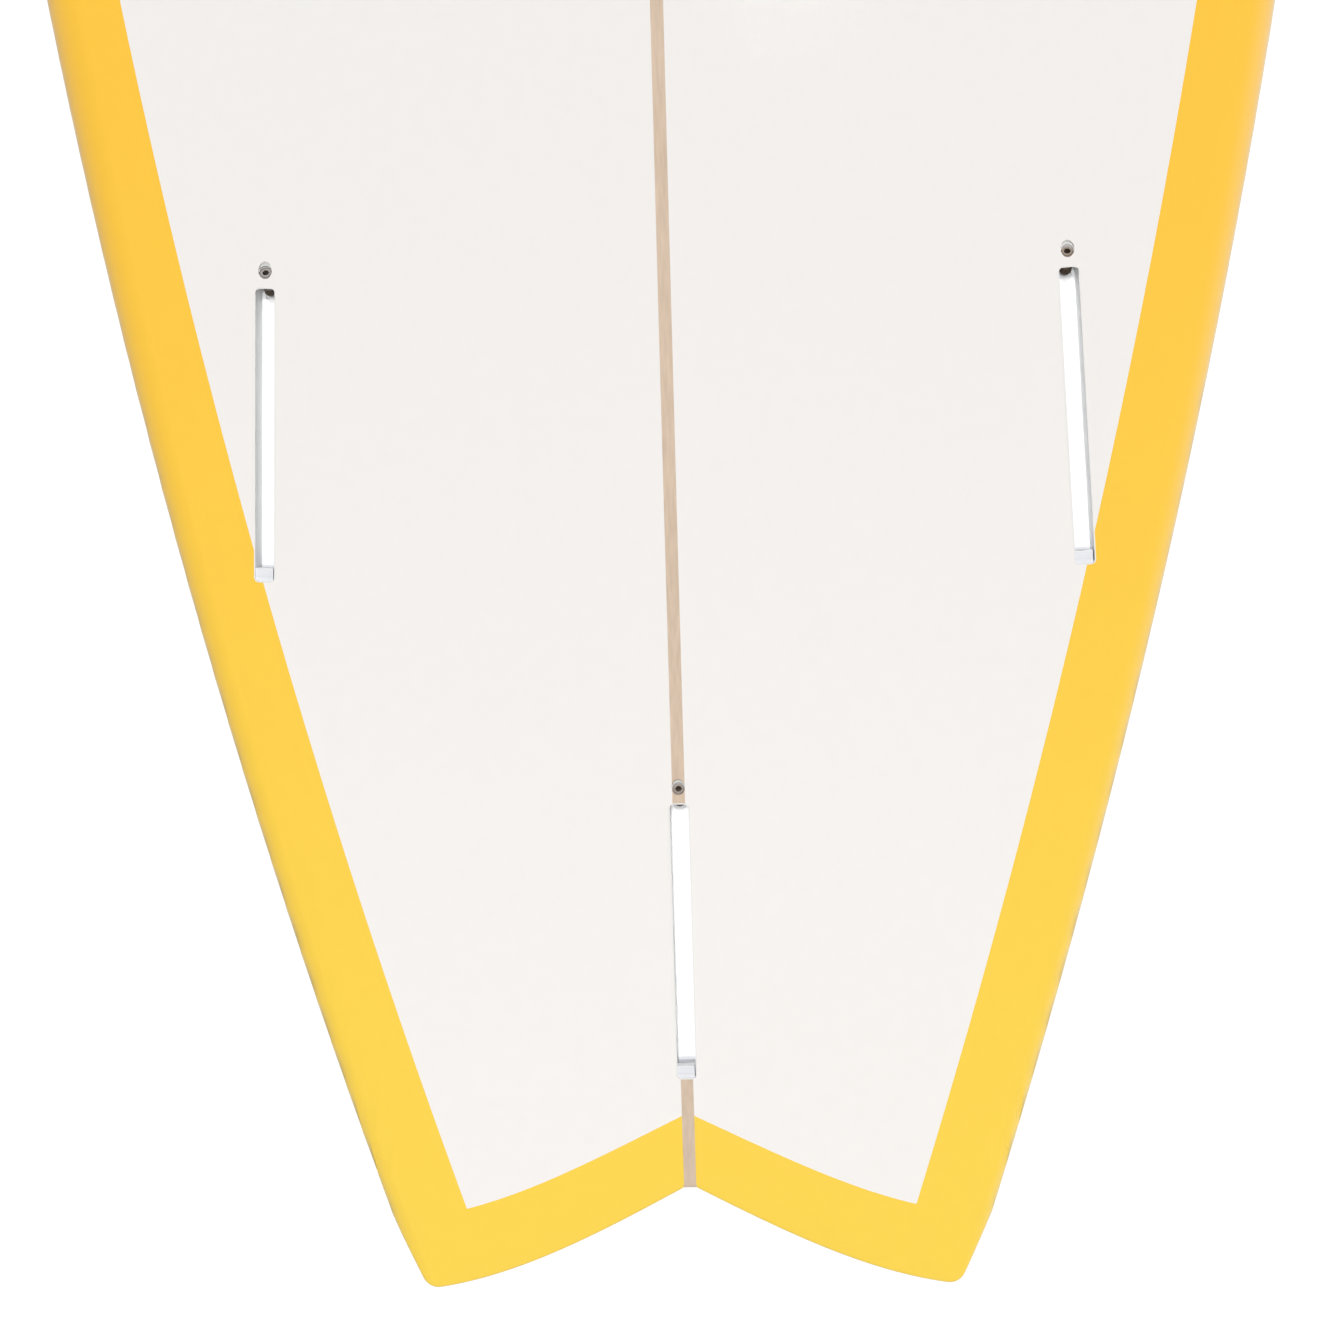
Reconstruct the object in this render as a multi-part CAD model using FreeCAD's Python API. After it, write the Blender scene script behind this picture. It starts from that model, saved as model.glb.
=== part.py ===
"""Swallow-tail shortboard, lying deck down on its nose and its two tail tips.

Frame: millimetres, +X to the right, +Y towards the nose, +Z out of the bottom.
The origin is on the ground, under the middle of the board's plan view.
A station is a distance along the board, 0 at the tail tips, LENGTH at the nose.
"""
import FreeCAD, Part
import math
import os

from FreeCAD import Placement, Rotation, Vector

# ---------------------------------------------------------------- outline
LENGTH = 1829.0            # 6 ft 0 in
HALF_WIDTH = 271.0         # 21 3/8 in across
WIDE_STATION = 900.0       # station of the widest point
TAIL_HALF_WIDTH = 113.7    # rail to stringer line at the tail tips
TAIL_FULLNESS = 1.77       # exponent of the outline behind the wide point
NOSE_HALF_WIDTH = 5.0      # blunt end of the nose
NOSE_CURVE = 2.1           # exponents of the outline ahead of the wide point
NOSE_POINT = 0.8

# ---------------------------------------------------------------- side view
THICKNESS = 64.0           # 2 1/2 in
TAIL_THICKNESS = 16.0
NOSE_THICKNESS = 12.0
THICK_STATION = 950.0
FOIL = 2.2                 # exponent of the thickness towards both ends
TAIL_ROCKER = 61.0
NOSE_ROCKER = 125.0
FLAT_STATION = 915.0       # station where the bottom has no rocker
TAIL_ROCKER_CURVE = 2.25
NOSE_ROCKER_CURVE = 2.6

# ---------------------------------------------------------------- rails
TAIL_EDGE_RADIUS = 7.0     # bottom edge of the rail, hard at the tail
MID_EDGE_RADIUS = 24.0     # and soft from the middle on
TAIL_EDGE_DEPTH = 5.5      # bottom face down to the widest line of the rail
MID_EDGE_DEPTH = 24.0
DECK_RAIL_FULLNESS = 0.72  # how far the rail stays upright below its widest line
DECK_DOME = 0.55           # how far the deck's crown reaches towards the rail
EDGE_RADIUS_LIMIT = 0.6    # most that the edge radius may be of the half width
EDGE_DEPTH_LIMIT = 0.45    # most that the edge depth may be of the thickness
ROUND_QUARTER = 0.5523     # handle length of a cubic Bezier quarter of a circle

# ---------------------------------------------------------------- swallow tail
NOTCH_STATION = 43.6
NOTCH_HALF_WIDTH = 2.5
TAIL_EDGE_SLOPE = 0.55     # the tail edge runs at this slope from the notch
TAIL_EDGE_BEND = 1.22e-5   # and flattens with the cube of the distance out
TIP_TURN = 104.0           # distance out where the tail edge turns into the rounded tip
TIP_RADIUS = 7.0
TIP_LEAVE = 66.0           # degrees that the tip turns before it runs straight into the rail
TIP_FAIRING = 60.0         # length of that straight run, more than it needs
TAIL_LINE_START = -10.3    # where the band's front line, carried in, meets the stringer

# ---------------------------------------------------------------- layers
GLASS = 1.0                # glass and resin skin, hot coat included
PATCH = 0.4                # extra glass under the skin
STRINGER = 5.0
RAIL_BAND = 31.0           # yellow band, measured in from the rail
TAIL_BAND = 27.3           # and from the tail edges, at the stringer
TAIL_BAND_SPREAD = 0.04    # the band widens this much per millimetre out to the tips
FIN_PATCH_LENGTH = 190.0   # oval patch over each fin box
FIN_PATCH_WIDTH = 60.0
DECK_PATCH_END = 1150.0    # station where the deck's second layer stops

# ---------------------------------------------------------------- fin boxes
SLOT_LENGTH = 114.0
SLOT_WIDTH = 7.4
SLOT_DEPTH = 12.7
SLOT_CORNER = 1.5
SLOT_RIM = 0.5             # plastic lip round the slot, sanded flush with the skin
RIM_DEPTH = 4.0            # the lip reaches down into the box body
BRIDGE_LENGTH = 5.0        # ledge over the tail end of the slot
BRIDGE_TOP = 0.9
BRIDGE_HEIGHT = 3.2
BRIDGE_GAP = 0.5           # the ledge stands clear of the slot's right wall
GROOVE_PLACE = 1.7         # line across the ledge, from the slot's tail end
GROOVE_WIDTH = 0.35
GROOVE_DEPTH = 0.35
BOX_LENGTH = 140.0
BOX_WIDTH = 25.0
BOX_DEPTH = 18.0
BOX_FRONT = 17.5           # box body ahead of the slot's front end
BOX_CORNER = 6.0
BED = 1.0                  # cast resin round each box and the leash plug
SIDE_FRONT_STATION = 406.5
SIDE_FRONT_X = 154.3
TOE_IN = 3.0               # degrees
CANT = 1.5                 # degrees, out from square to the bottom
CENTRE_FRONT_STATION = 201.4

# ---------------------------------------------------------------- grub screws
SCREW_DIAMETER = 4.83      # no. 10, 24 threads to the inch
SCREW_LENGTH = 12.7
SCREW_CLEARANCE = 0.04     # on the radius, in the box's threaded bore
HOLE_DIAMETER = 5.2        # through the skin
HOLE_AHEAD = 7.1           # ahead of the slot's front end
SCREW_TILT = 38.0          # degrees from square to the bottom
SCREW_SUNK = 1.6           # outer end of the screw below the bottom, along its axis
BORE_LENGTH = 18.0
BORE_ABOVE = 8.0           # the bore's cutting tool stands this far out of the bottom
HOLE_LENGTH = 10.0         # length of the hole through the skin, along the screw
SOCKET_ACROSS = 2.38       # 3/32 in key
SOCKET_DEPTH = 3.0
THREAD_PITCH = 1.058
THREAD_DEPTH = 0.45
THREAD_PROFILE = (0.10, 0.42, 0.58, 0.90)   # root, crest, crest, root within one pitch

# ---------------------------------------------------------------- leash plug
PLUG_STATION = 100.0
PLUG_X = 34.0
PLUG_DIAMETER = 28.0
PLUG_DEPTH = 16.0
CUP_DIAMETER = 20.0
CUP_DEPTH = 12.5
CUP_CORNER = 3.0
PIN_DIAMETER = 3.0
PIN_LENGTH = 25.0
PIN_DEPTH = 4.0            # top of the pin below the deck

# ---------------------------------------------------------------- construction
SECTION_COUNT_TAIL = 15
SECTION_COUNT_NOSE = 18
RUN_OUT = 12.0             # the loft runs past the tail tips before it is trimmed
TALL = 400.0               # more than the board's height
BAND_POINTS = 20           # spans of the band's inner line, and of the mid-surface
TAIL_POINTS = 8            # spans of the tail edge and of the band's front line
MIDDLE_POINTS = 24
HALVINGS = 40              # steps of a search by halving


def half_width(station):
    """Rail to stringer line at a station."""
    if station <= WIDE_STATION:
        run = 1.0 - station / WIDE_STATION
        return HALF_WIDTH - (HALF_WIDTH - TAIL_HALF_WIDTH) * run ** TAIL_FULLNESS
    run = min(1.0, (station - WIDE_STATION) / (LENGTH - WIDE_STATION))
    closing = (1.0 - run ** NOSE_CURVE) ** NOSE_POINT
    return NOSE_HALF_WIDTH + (HALF_WIDTH - NOSE_HALF_WIDTH) * closing


def thickness(station):
    """Thickness on the stringer line."""
    if station <= THICK_STATION:
        run = 1.0 - station / THICK_STATION
        return THICKNESS - (THICKNESS - TAIL_THICKNESS) * run ** FOIL
    run = (station - THICK_STATION) / (LENGTH - THICK_STATION)
    return THICKNESS - (THICKNESS - NOSE_THICKNESS) * run ** FOIL


def rocker(station):
    """Height that the bottom loses to rocker at a station."""
    if station <= FLAT_STATION:
        return TAIL_ROCKER * (1.0 - station / FLAT_STATION) ** TAIL_ROCKER_CURVE
    run = (station - FLAT_STATION) / (LENGTH - FLAT_STATION)
    return NOSE_ROCKER * run ** NOSE_ROCKER_CURVE


def softness(station):
    """0 for the hard rail of the tail, 1 for the soft rail of the middle and nose."""
    run = min(1.0, max(0.0, station / WIDE_STATION))
    return run * run * (3.0 - 2.0 * run)


def edge_radius(station):
    full = TAIL_EDGE_RADIUS + (MID_EDGE_RADIUS - TAIL_EDGE_RADIUS) * softness(station)
    return min(full, EDGE_RADIUS_LIMIT * half_width(station))


def edge_depth(station):
    full = TAIL_EDGE_DEPTH + (MID_EDGE_DEPTH - TAIL_EDGE_DEPTH) * softness(station)
    return min(full, EDGE_DEPTH_LIMIT * thickness(station))


def tail_edge(x):
    """Station of the swallow tail's edge at a distance x from the stringer line."""
    return NOTCH_STATION - TAIL_EDGE_SLOPE * x + TAIL_EDGE_BEND * x ** 3


def tail_angle(x):
    """Angle between the tail edge and a line square to the stringer."""
    return math.atan(TAIL_EDGE_SLOPE - 3.0 * TAIL_EDGE_BEND * x * x)


def tail_line(x, inward):
    """Point of the line that runs a distance in from the right tail edge."""
    angle = tail_angle(x)
    return x + inward * math.sin(angle), tail_edge(x) + inward * math.cos(angle)


def tail_band_line(x):
    """Point of the yellow band's front line, square in from the right tail edge."""
    return tail_line(x, TAIL_BAND + TAIL_BAND_SPREAD * x)


def rail_line(station, inward):
    """Point of the line that runs a distance in from the right rail."""
    slope = 0.5 * (half_width(station + 1.0) - half_width(station - 1.0))
    size = math.hypot(1.0, slope)
    return half_width(station) - inward / size, station + inward * slope / size


def bezier(poles, t):
    """Point of a cubic Bezier curve given by four numbers or vectors."""
    s = 1.0 - t
    return poles[0] * s ** 3 + poles[1] * 3 * s * s * t + poles[2] * 3 * s * t * t + poles[3] * t ** 3


def deck_drop(x, station):
    """Deck below the bottom's stringer line, at a distance from the stringer line."""
    wide = half_width(station)
    crest = edge_depth(station)
    low = thickness(station)
    across = (wide, wide, DECK_DOME * wide, 0.0)
    down = (crest, crest + DECK_RAIL_FULLNESS * (low - crest), low, low)
    inner, outer = 0.0, 1.0
    for _ in range(HALVINGS):
        middle = 0.5 * (inner + outer)
        if bezier(across, middle) > abs(x):
            inner = middle
        else:
            outer = middle
    return bezier(down, inner)


def settle():
    """Lift and pitch that put the nose and both tail tips on the ground."""
    step = 4.0
    edge = [(step * i, tail_edge(step * i)) for i in range(int(TIP_TURN / step) + 1)]
    drops = [(station, rocker(station) + deck_drop(x, station)) for x, station in edge]
    pitch = 0.0
    for _ in range(8):
        lift = -min(pitch * station - drop for station, drop in drops)
        pitch = (rocker(LENGTH) + thickness(LENGTH) - lift) / LENGTH
    return lift, pitch


LIFT, PITCH = settle()


def bottom_height(station):
    return LIFT + PITCH * station - rocker(station)


def deck_height(x, station):
    return bottom_height(station) - deck_drop(x, station)


def place(x, station, z):
    """A point of the board, from its station."""
    return Vector(x, station - 0.5 * LENGTH, z)


# ---------------------------------------------------------------- hull
def cubic(poles):
    curve = Part.BezierCurve()
    curve.setPoles(poles)
    return curve.toShape()


def section(station, inset):
    """Closed cross-section, shrunk on all sides by inset."""
    wide = half_width(station) - inset
    flat = half_width(station) - edge_radius(station)
    top = bottom_height(station) - inset
    crest = bottom_height(station) - edge_depth(station)
    low = bottom_height(station) - thickness(station) + inset
    quarter = ROUND_QUARTER
    edges = [Part.makeLine(place(-flat, station, top), place(flat, station, top))]
    for side in (1.0, -1.0):
        corner = [
            place(side * flat, station, top),
            place(side * (flat + quarter * (wide - flat)), station, top),
            place(side * wide, station, crest + quarter * (top - crest)),
            place(side * wide, station, crest),
        ]
        deck = [
            place(side * wide, station, crest),
            place(side * wide, station, crest - DECK_RAIL_FULLNESS * (crest - low)),
            place(side * DECK_DOME * wide, station, low),
            place(0.0, station, low),
        ]
        if side > 0:
            edges += [cubic(corner), cubic(deck)]
        else:
            edges += [cubic(deck[::-1]), cubic(corner[::-1])]
    return Part.Wire(edges)


def stations(inset):
    """Stations of the loft, close together where the nose turns in."""
    behind = (WIDE_STATION + RUN_OUT) / SECTION_COUNT_TAIL
    ahead = LENGTH - inset - WIDE_STATION
    turn = 0.5 * math.pi / SECTION_COUNT_NOSE
    first = [behind * i - RUN_OUT for i in range(SECTION_COUNT_TAIL)]
    return first + [WIDE_STATION + ahead * math.sin(turn * i) for i in range(SECTION_COUNT_NOSE + 1)]


def smooth_edge(points):
    """Smooth curve through a row of points."""
    curve = Part.BSplineCurve()
    curve.interpolate(points)
    return curve.toShape()


def spread(first, last, count):
    """Evenly spaced numbers, both ends included."""
    return [first + (last - first) * i / count for i in range(count + 1)]


def tail_side(side, inset):
    """Tail edge of one side: notch, edge, rounded tip and a line past the rail."""
    centre_x, centre_station = tail_line(TIP_TURN, TIP_RADIUS)
    radius = TIP_RADIUS - inset
    arrive = -tail_angle(TIP_TURN)
    leave = math.radians(TIP_LEAVE)

    def edge_point(x):
        across, station = tail_line(x, inset)
        return place(side * across, station, 0.0)

    def round_point(angle, further=0.0):
        across = centre_x + radius * math.sin(angle) + further * math.cos(angle)
        station = centre_station - radius * math.cos(angle) + further * math.sin(angle)
        return place(side * across, station, 0.0)

    main = [edge_point(x) for x in spread(NOTCH_HALF_WIDTH, TIP_TURN, TAIL_POINTS)]
    last = round_point(leave)
    away = round_point(leave, TIP_FAIRING)
    tip = Part.Arc(main[-1], round_point(0.5 * (arrive + leave)), last)
    return [smooth_edge(main), tip.toShape(), Part.makeLine(last, away)], main[0], away


def prism(edges, low=-0.5 * TALL, high=TALL):
    """Upright solid on a closed plan outline."""
    face = Part.Face(Part.Wire(Part.__sortEdges__(edges)))
    face.translate(Vector(0.0, 0.0, low))
    return face.extrude(Vector(0.0, 0.0, high - low))


def tail_cutter(inset):
    """Everything behind the swallow tail's edge."""
    right, notch_r, away_r = tail_side(1.0, inset)
    left, notch_l, away_l = tail_side(-1.0, inset)
    far_r = place(HALF_WIDTH, -3 * RUN_OUT, 0.0)
    far_l = place(-HALF_WIDTH, -3 * RUN_OUT, 0.0)
    closing = [
        Part.makeLine(notch_l, notch_r),
        Part.makeLine(away_r, far_r),
        Part.makeLine(far_r, far_l),
        Part.makeLine(far_l, away_l),
    ]
    return prism(right + left + closing)


def hull(inset):
    """The board's solid shape, shrunk on all sides by inset."""
    body = Part.makeLoft([section(station, inset) for station in stations(inset)], True, False)
    return body.cut(tail_cutter(inset))


# ---------------------------------------------------------------- zones in plan and height
def band_end():
    """Station of the rail whose band line comes in to the stringer, at the nose."""
    low, high = WIDE_STATION, LENGTH - 2.0
    for _ in range(HALVINGS):
        middle = 0.5 * (low + high)
        if rail_line(middle, RAIL_BAND)[0] > 0.5 * STRINGER:
            low = middle
        else:
            high = middle
    return low


def band_window():
    """Plan area inside the yellow band."""
    last = band_end()
    ends = []
    edges = []
    for side in (1.0, -1.0):
        points = []
        for i in range(BAND_POINTS + 1):
            station = (last + RUN_OUT) * math.sin(0.5 * math.pi * i / BAND_POINTS) - RUN_OUT
            x, along = rail_line(station, RAIL_BAND)
            points.append(place(side * x, along, 0.0))
        edges.append(smooth_edge(points))
        ends.append((points[0], points[-1]))
    edges.append(Part.makeLine(ends[0][0], ends[1][0]))
    edges.append(Part.makeLine(ends[0][1], ends[1][1]))
    return prism(edges).cut(band_cutter())


def band_cutter():
    """Everything behind the front line of the band along the tail edges."""
    starts = []
    fars = []
    edges = []
    for side in (1.0, -1.0):
        points = []
        for x in spread(TAIL_LINE_START, TIP_TURN, TAIL_POINTS):
            across, station = tail_band_line(x)
            points.append(place(side * across, station, 0.0))
        edges.append(smooth_edge(points))
        far = place(side * HALF_WIDTH, -3 * RUN_OUT, 0.0)
        edges.append(Part.makeLine(points[-1], far))
        starts.append(points[0])
        fars.append(far)
    edges.append(Part.makeLine(starts[0], starts[1]))
    edges.append(Part.makeLine(fars[0], fars[1]))
    return prism(edges)


def upper_half(half_span):
    """Everything above the board's mid-surface, within half_span of the stringer line."""
    points = []
    for i in range(MIDDLE_POINTS + 1):
        station = (LENGTH + 4 * RUN_OUT) * i / MIDDLE_POINTS - 2 * RUN_OUT
        inside = min(LENGTH, max(0.0, station))
        points.append(place(-half_span, station, bottom_height(inside) - 0.5 * thickness(inside)))
    points.append(place(-half_span, points[-1].y + 0.5 * LENGTH, TALL))
    points.append(place(-half_span, points[0].y + 0.5 * LENGTH, TALL))
    face = Part.Face(Part.makePolygon(points + [points[0]]))
    return face.extrude(Vector(2.0 * half_span, 0.0, 0.0))


def slab(x0, x1, station0, station1):
    """Upright block between two lines in x and two stations."""
    block = Part.makeBox(x1 - x0, station1 - station0, 1.5 * TALL)
    block.translate(place(x0, station0, -0.5 * TALL))
    return block


def one_solid(shape):
    """The largest solid of a shape, with split faces joined again."""
    best = max(shape.Solids, key=lambda solid: solid.Volume)
    return best.removeSplitter()


# ---------------------------------------------------------------- fin boxes and their screws
def rounded_block(half_x, y0, y1, z0, z1, corner):
    """Block with its upright edges rounded."""
    block = Part.makeBox(2.0 * half_x, y1 - y0, z1 - z0, Vector(-half_x, y0, z0))
    upright = [edge for edge in block.Edges if edge.BoundBox.ZLength > 0.5 * (z1 - z0)]
    return block.makeFillet(corner, upright)


def fin_frame(side):
    """Placement of a fin box: slot's front end at the origin, nose along +Y, out along +Z."""
    front = SIDE_FRONT_STATION if side else CENTRE_FRONT_STATION
    toe = math.radians(TOE_IN) * abs(side)
    back = front - SLOT_LENGTH * math.cos(toe)
    rise = bottom_height(front) - bottom_height(back)
    slope = math.degrees(math.atan2(rise, front - back))
    turn = Rotation(Vector(0, 0, 1), TOE_IN * side)
    turn = turn.multiply(Rotation(Vector(1, 0, 0), slope))
    turn = turn.multiply(Rotation(Vector(0, 1, 0), CANT * side))
    return Placement(place(side * SIDE_FRONT_X, front, bottom_height(front)), turn)


def bore_direction():
    tilt = math.radians(SCREW_TILT)
    return Vector(0.0, -math.sin(tilt), -math.cos(tilt))


def bore(diameter, length):
    """Screw's bore in a fin box's frame, open above the bottom."""
    start = Vector(0.0, HOLE_AHEAD, 0.0) - bore_direction() * BORE_ABOVE
    return Part.makeCylinder(0.5 * diameter, length + BORE_ABOVE, start, bore_direction())


def box_body(grow, frame):
    body = rounded_block(
        0.5 * BOX_WIDTH + grow,
        BOX_FRONT - BOX_LENGTH - grow,
        BOX_FRONT + grow,
        -BOX_DEPTH - grow,
        RUN_OUT,
        BOX_CORNER + grow,
    )
    body.Placement = frame
    return body


def slot_block(grow, depth, height, frame):
    """The slot's shape, grown all round."""
    block = rounded_block(
        0.5 * SLOT_WIDTH + grow, -SLOT_LENGTH - grow, grow, -depth, height, SLOT_CORNER + grow
    )
    block.Placement = frame
    return block


def rim_block(frame):
    return slot_block(SLOT_RIM, RIM_DEPTH, RUN_OUT, frame)


def fin_box(frame, outer, inner):
    """One moulding: body under the glass, slot lip through it, slot, ledge and bore."""
    slot = slot_block(0.0, SLOT_DEPTH, RUN_OUT + 2.0, frame)
    into = 0.5
    ledge = Part.makeBox(
        SLOT_WIDTH + into - BRIDGE_GAP,
        BRIDGE_LENGTH + into,
        BRIDGE_HEIGHT,
        Vector(-0.5 * SLOT_WIDTH - into, -SLOT_LENGTH - into, -BRIDGE_TOP - BRIDGE_HEIGHT),
    )
    groove = Part.makeBox(
        SLOT_WIDTH + 2.0 * into,
        GROOVE_WIDTH,
        BRIDGE_HEIGHT,
        Vector(-0.5 * SLOT_WIDTH - into, GROOVE_PLACE - SLOT_LENGTH, -BRIDGE_TOP - GROOVE_DEPTH),
    )
    ledge = ledge.cut(groove)
    ledge.Placement = frame
    hole = bore(SCREW_DIAMETER + 2.0 * SCREW_CLEARANCE, BORE_LENGTH)
    hole.Placement = frame
    body = box_body(0.0, frame).common(inner).fuse(rim_block(frame).common(outer))
    return one_solid(body.cut(slot).fuse(ledge).cut(hole))


def grub_screw(frame):
    """Cup-ended grub screw with a hexagon socket, turned about its own axis."""
    radius = 0.5 * SCREW_DIAMETER
    root = radius - THREAD_DEPTH
    profile = [Vector(0, 0, 0), Vector(root, 0, 0)]
    turns = int((SCREW_LENGTH - 1.0) / THREAD_PITCH)
    start = 0.5 * (SCREW_LENGTH - turns * THREAD_PITCH)
    for i in range(turns):
        for share, reach in zip(THREAD_PROFILE, (root, radius, radius, root)):
            profile.append(Vector(reach, 0, start + (i + share) * THREAD_PITCH))
    profile += [Vector(root, 0, SCREW_LENGTH), Vector(0, 0, SCREW_LENGTH), Vector(0, 0, 0)]
    body = Part.Face(Part.makePolygon(profile)).revolve(Vector(0, 0, 0), Vector(0, 0, 1), 360)
    corner = 0.5 * SOCKET_ACROSS / math.cos(math.radians(30.0))
    angles = [math.radians(60.0 * i) for i in range(7)]
    ring = [Vector(corner * math.cos(angle), corner * math.sin(angle), 0) for angle in angles]
    socket = Part.Face(Part.makePolygon(ring)).extrude(Vector(0, 0, SOCKET_DEPTH))
    body = body.cut(socket)
    along = bore_direction()
    seat = Vector(0.0, HOLE_AHEAD, 0.0) + along * SCREW_SUNK
    body.Placement = frame.multiply(Placement(seat, Rotation(Vector(0, 0, 1), along)))
    return one_solid(body)


def fin_patch(side, frame, layer, upper):
    """Oval of glass under the skin, over one fin box."""
    middle = frame.multVec(Vector(0.0, -0.5 * SLOT_LENGTH, 0.0))
    oval = Part.Ellipse(Vector(0, 0, 0), 0.5 * FIN_PATCH_LENGTH, 0.5 * FIN_PATCH_WIDTH).toShape()
    turn = Rotation(Vector(0, 0, 1), 90.0 + TOE_IN * side)
    oval.Placement = Placement(Vector(middle.x, middle.y, 0.0), turn)
    zone = prism([oval]).common(upper)
    return layer.common(zone)


# ---------------------------------------------------------------- leash plug
def plug_frame():
    """Placement on the deck: +Z out of the deck."""
    step = 4.0
    over = deck_height(PLUG_X + step, PLUG_STATION) - deck_height(PLUG_X - step, PLUG_STATION)
    along = deck_height(PLUG_X, PLUG_STATION + step) - deck_height(PLUG_X, PLUG_STATION - step)
    out = Vector(over / (2.0 * step), along / (2.0 * step), -1.0)
    return Placement(
        place(PLUG_X, PLUG_STATION, deck_height(PLUG_X, PLUG_STATION)),
        Rotation(Vector(1, 0, 0), Vector(0, -1, 0), out, "ZXY"),
    )


def plug_body(grow, frame):
    radius = 0.5 * PLUG_DIAMETER + grow
    body = Part.makeCylinder(radius, PLUG_DEPTH + grow + RUN_OUT, Vector(0, 0, -PLUG_DEPTH - grow))
    body.Placement = frame
    return body


def leash_plug(frame, outer):
    """Cup and the pin across it."""
    cup = Part.makeCylinder(0.5 * CUP_DIAMETER, CUP_DEPTH + RUN_OUT + 2.0, Vector(0, 0, -CUP_DEPTH))
    floor_edges = [edge for edge in cup.Edges if edge.BoundBox.ZMax < 0.5 - CUP_DEPTH]
    cup = cup.makeFillet(CUP_CORNER, floor_edges)
    cup.Placement = frame
    end = Vector(-0.5 * PIN_LENGTH, 0, -PIN_DEPTH - 0.5 * PIN_DIAMETER)
    pin = Part.makeCylinder(0.5 * PIN_DIAMETER, PIN_LENGTH, end, Vector(1, 0, 0))
    pin.Placement = frame
    body = plug_body(0.0, frame).common(outer).cut(cup).cut(pin)
    return one_solid(body), pin


# ---------------------------------------------------------------- the assembly
def build():
    parts = {}
    outer = hull(0.0)
    blank = hull(GLASS)
    inner = hull(GLASS + PATCH)
    skin = outer.cut(blank)
    layer = blank.cut(inner)
    window = band_window()
    upper = upper_half(1.2 * HALF_WIDTH)
    frames = {"left": (-1, fin_frame(-1)), "right": (1, fin_frame(1)), "centre": (0, fin_frame(0))}
    leash = plug_frame()

    rims = []
    holes = []
    pockets = [plug_body(BED, leash)]
    patches = []
    for name, (side, frame) in frames.items():
        rim = rim_block(frame)
        hole = bore(HOLE_DIAMETER, HOLE_LENGTH)
        hole.Placement = frame
        rims.append(rim)
        holes.append(hole)
        body = box_body(0.0, frame)
        pocket = box_body(BED, frame)
        pockets.append(pocket)
        patch = fin_patch(side, frame, layer, upper).cut([rim, hole])
        patches.append(patch)
        parts["fin_box_" + name] = fin_box(frame, outer, inner)
        parts["fin_screw_" + name] = grub_screw(frame)
        parts["fin_box_bed_" + name] = one_solid(pocket.cut(body).common(inner))
        parts["fin_patch_" + name] = one_solid(patch)

    parts["leash_plug_cup"], parts["leash_plug_pin"] = leash_plug(leash, outer)
    bed = plug_body(BED, leash).cut(plug_body(0.0, leash)).common(inner)
    parts["leash_plug_bed"] = one_solid(bed)
    plug = plug_body(0.0, leash)
    rear = slab(-HALF_WIDTH, HALF_WIDTH, -RUN_OUT, DECK_PATCH_END)
    deck_patch = layer.common(window.common(rear).cut(upper).cut(plug))
    parts["deck_patch"] = one_solid(deck_patch)

    open_zone = window.fuse(upper_half(0.5 * STRINGER))
    sheets = sorted(skin.common(open_zone).Solids, key=lambda solid: solid.CenterOfMass.z)
    parts["deck_laminate"] = one_solid(sheets[0].cut(plug))
    parts["bottom_laminate"] = one_solid(sheets[-1].cut(rims + holes))
    band = skin.cut(open_zone)
    wide = 2.0 * HALF_WIDTH
    for name, x0 in (("left", -wide), ("right", 0.0)):
        half = slab(x0, x0 + wide, -2 * RUN_OUT, LENGTH + RUN_OUT)
        parts["rail_band_" + name] = one_solid(band.common(half).cut(rims))

    core = blank.cut([deck_patch] + patches + rims + holes + pockets)
    half_stringer = 0.5 * STRINGER
    for name, x0, x1 in (
        ("foam_core_left", -wide, -half_stringer),
        ("stringer", -half_stringer, half_stringer),
        ("foam_core_right", half_stringer, wide),
    ):
        parts[name] = core.common(slab(x0, x1, -2 * RUN_OUT, LENGTH + RUN_OUT))
    return parts


if __name__ == "__main__":
    os.makedirs("parts", exist_ok=True)
    for name, shape in build().items():
        shape.exportStep("parts/" + name + ".step")
        box = shape.optimalBoundingBox()
        print(
            name, "valid" if shape.isValid() else "INVALID", len(shape.Solids), "solid(s)",
            round(shape.Volume / 1000.0, 2), "ml",
            [round(value, 1) for value in (box.XMin, box.YMin, box.ZMin, box.XMax, box.YMax, box.ZMax)],
        )
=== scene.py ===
import math

import bmesh
import bpy
import numpy as np
from mathutils import Matrix, Vector
from mathutils.geometry import delaunay_2d_cdt
from mathutils.kdtree import KDTree


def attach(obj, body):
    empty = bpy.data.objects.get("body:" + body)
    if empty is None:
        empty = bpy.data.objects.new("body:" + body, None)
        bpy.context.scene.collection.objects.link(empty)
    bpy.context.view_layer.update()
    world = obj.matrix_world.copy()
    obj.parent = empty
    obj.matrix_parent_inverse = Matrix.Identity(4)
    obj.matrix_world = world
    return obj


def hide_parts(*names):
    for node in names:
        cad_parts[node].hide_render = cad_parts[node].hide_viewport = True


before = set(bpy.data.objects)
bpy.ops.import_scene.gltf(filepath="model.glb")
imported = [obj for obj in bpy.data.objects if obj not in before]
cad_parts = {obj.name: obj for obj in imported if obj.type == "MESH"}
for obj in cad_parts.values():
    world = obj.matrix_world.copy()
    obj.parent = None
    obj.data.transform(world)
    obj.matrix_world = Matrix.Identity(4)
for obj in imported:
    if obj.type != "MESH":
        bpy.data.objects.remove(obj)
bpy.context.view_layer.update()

# The board's skins are built here, finer than the frame's own meshes, from the same
# formulas and driving dimensions as the CAD model. Those are in millimetres.
# A station is a distance along the board, 0 at the tail tips, LENGTH at the nose.
MM = 0.001

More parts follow.
